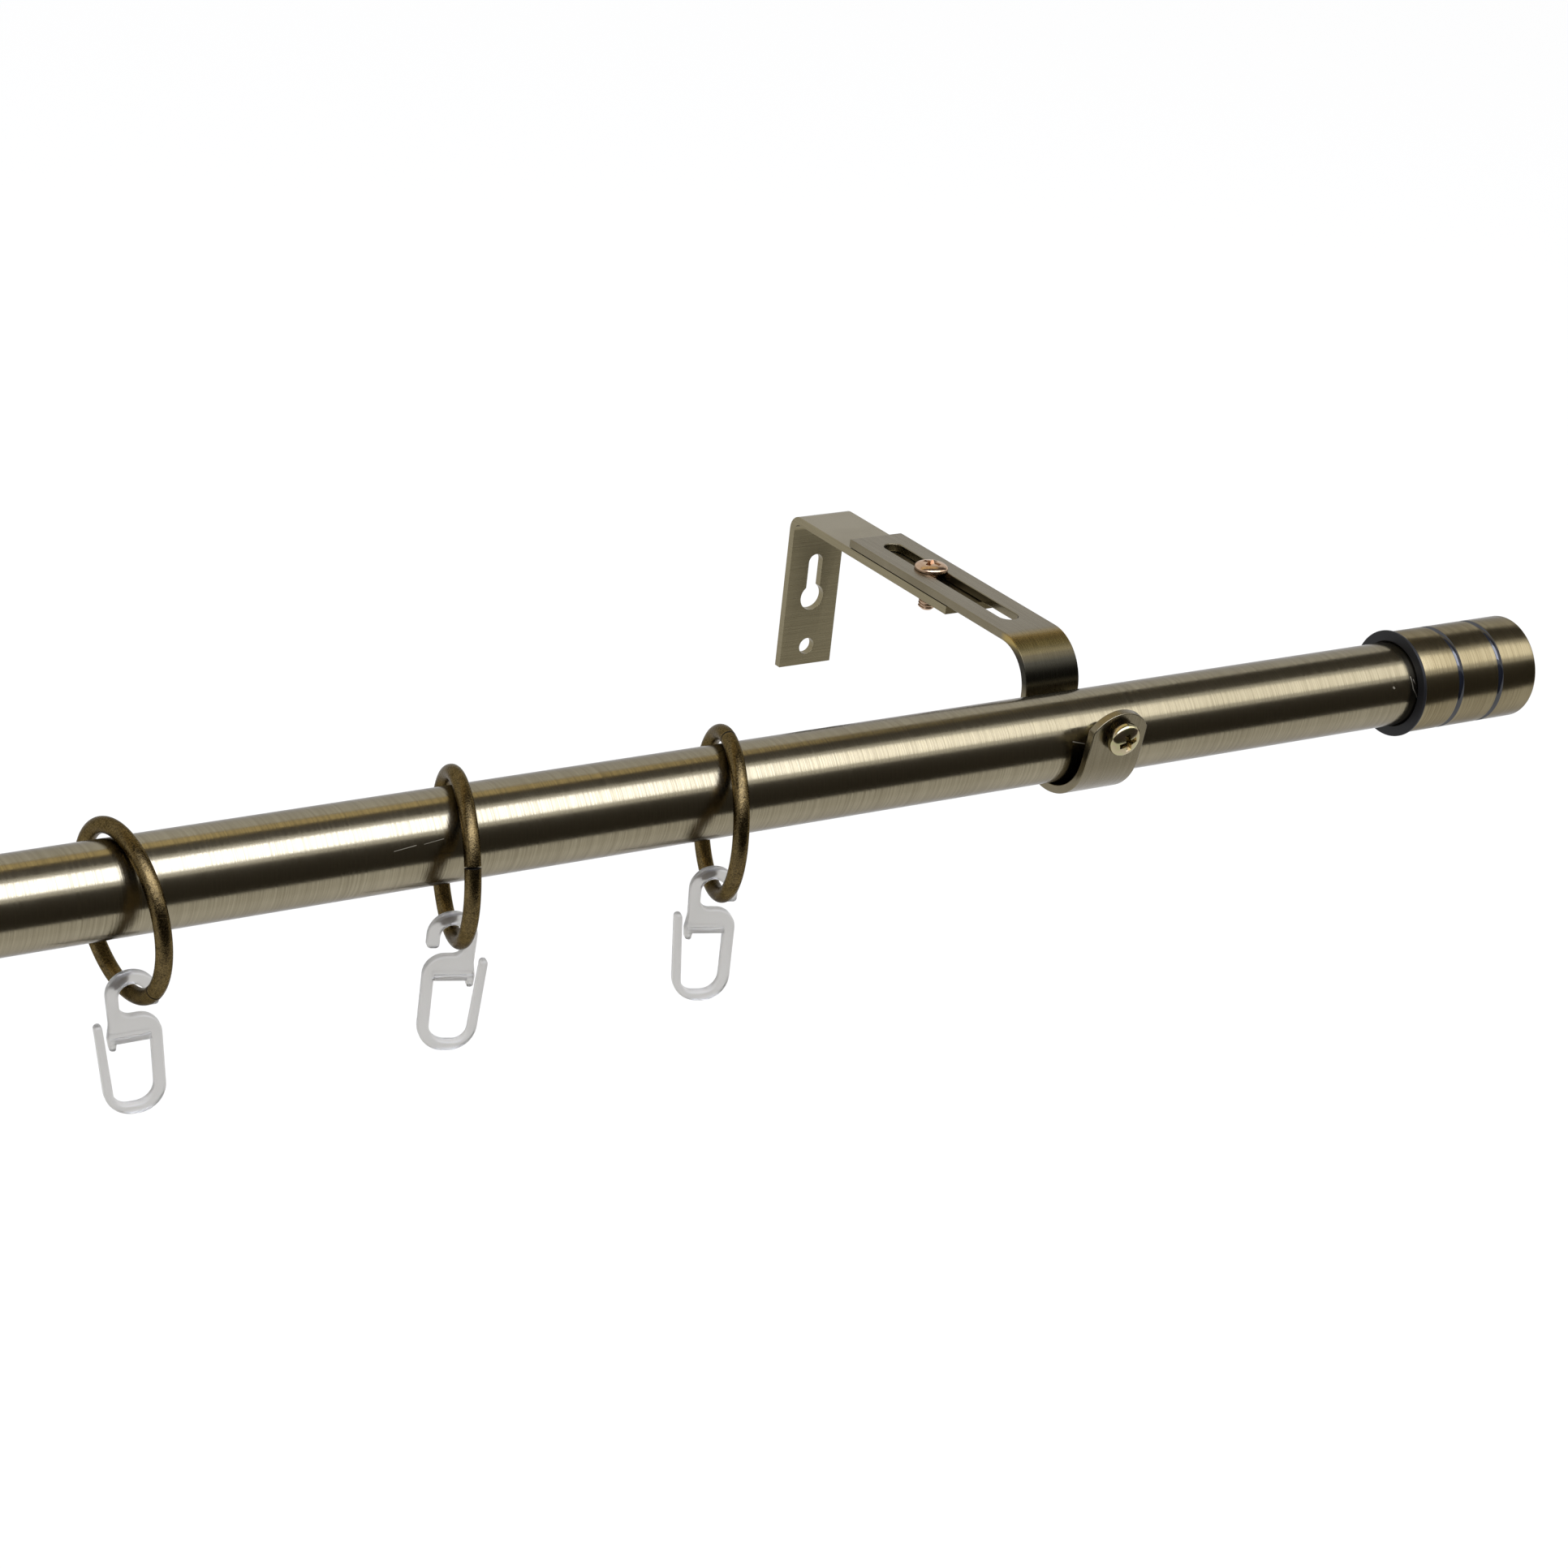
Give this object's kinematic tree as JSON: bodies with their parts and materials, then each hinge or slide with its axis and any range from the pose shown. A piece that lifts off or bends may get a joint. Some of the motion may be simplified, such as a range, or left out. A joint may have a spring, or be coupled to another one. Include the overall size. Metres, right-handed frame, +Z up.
{
  "type": "curtain pole",
  "caption": "Straight tubular curtain pole on adjustable wall brackets, with end caps and sliding rings that carry clear curtain hooks.",
  "frame": {"origin": "on the wall face, midway between the lower screw holes of the wall plates", "axes": "+X along the pole to the right as seen from the room, +Y into the wall, +Z up"},
  "size_m": [0.6, 0.1292, 0.0699],
  "materials": {
    "antique_brass": "antique brass plating on steel, brushed fine and lacquered",
    "dark_bronze": "dark antique bronze plating on steel wire, mottled",
    "clamp_screw_steel": "copper-bronze plated steel",
    "lock_screw_steel": "bright yellow zinc plated steel",
    "black_plastic": "plain black",
    "clear_plastic": "translucent, moulded"
  },
  "bodies": {
    "wall_brackets": {"right_wall_plate": "antique_brass", "right_clamp_screw": "clamp_screw_steel", "left_wall_plate": "antique_brass", "left_clamp_screw": "clamp_screw_steel"},
    "pole": {"pole_tube": "antique_brass", "right_end_cap": "antique_brass", "right_cap_liner": "black_plastic", "right_hook_arm": "antique_brass", "right_lock_screw": "lock_screw_steel", "left_end_cap": "antique_brass", "left_cap_liner": "black_plastic", "left_hook_arm": "antique_brass", "left_lock_screw": "lock_screw_steel"},
    "ring_1": {"pole_ring_1": "dark_bronze"},
    "hook_1": {"curtain_hook_1": "clear_plastic"},
    "ring_2": {"pole_ring_2": "dark_bronze"},
    "hook_2": {"curtain_hook_2": "clear_plastic"},
    "ring_3": {"pole_ring_3": "dark_bronze"},
    "hook_3": {"curtain_hook_3": "clear_plastic"}
  },
  "joints": [
    {"name": "projection_slide", "type": "slide", "parent": "wall_brackets", "child": "pole", "axis": [0, 1, 0], "range_m": [-0.015, 0.021]},
    {"name": "ring_1_slide", "type": "slide", "parent": "pole", "child": "ring_1", "axis": [1, 0, 0], "range_m": [-0.09, 0.026]},
    {"name": "hook_1_swing", "type": "hinge", "parent": "ring_1", "child": "hook_1", "pos_m": [-0.06296, -0.11176, -0.00269], "axis": [-0.0299, 0.9941, -0.104], "range_deg": [-60, 60]},
    {"name": "ring_2_slide", "type": "slide", "parent": "pole", "child": "ring_2", "axis": [1, 0, 0], "range_m": [-0.027, 0.023]},
    {"name": "hook_2_swing", "type": "hinge", "parent": "ring_2", "child": "hook_2", "pos_m": [0.01067, -0.11021, -0.00292], "axis": [0.2974, 0.9548, 0], "range_deg": [-60, 60]},
    {"name": "ring_3_slide", "type": "slide", "parent": "pole", "child": "ring_3", "axis": [1, 0, 0], "range_m": [-0.023, 0.077]},
    {"name": "hook_3_swing", "type": "hinge", "parent": "ring_3", "child": "hook_3", "pos_m": [0.07506, -0.11002, -0.00295], "axis": [0.3206, 0.9472, 0], "range_deg": [-60, 60]}
  ]
}
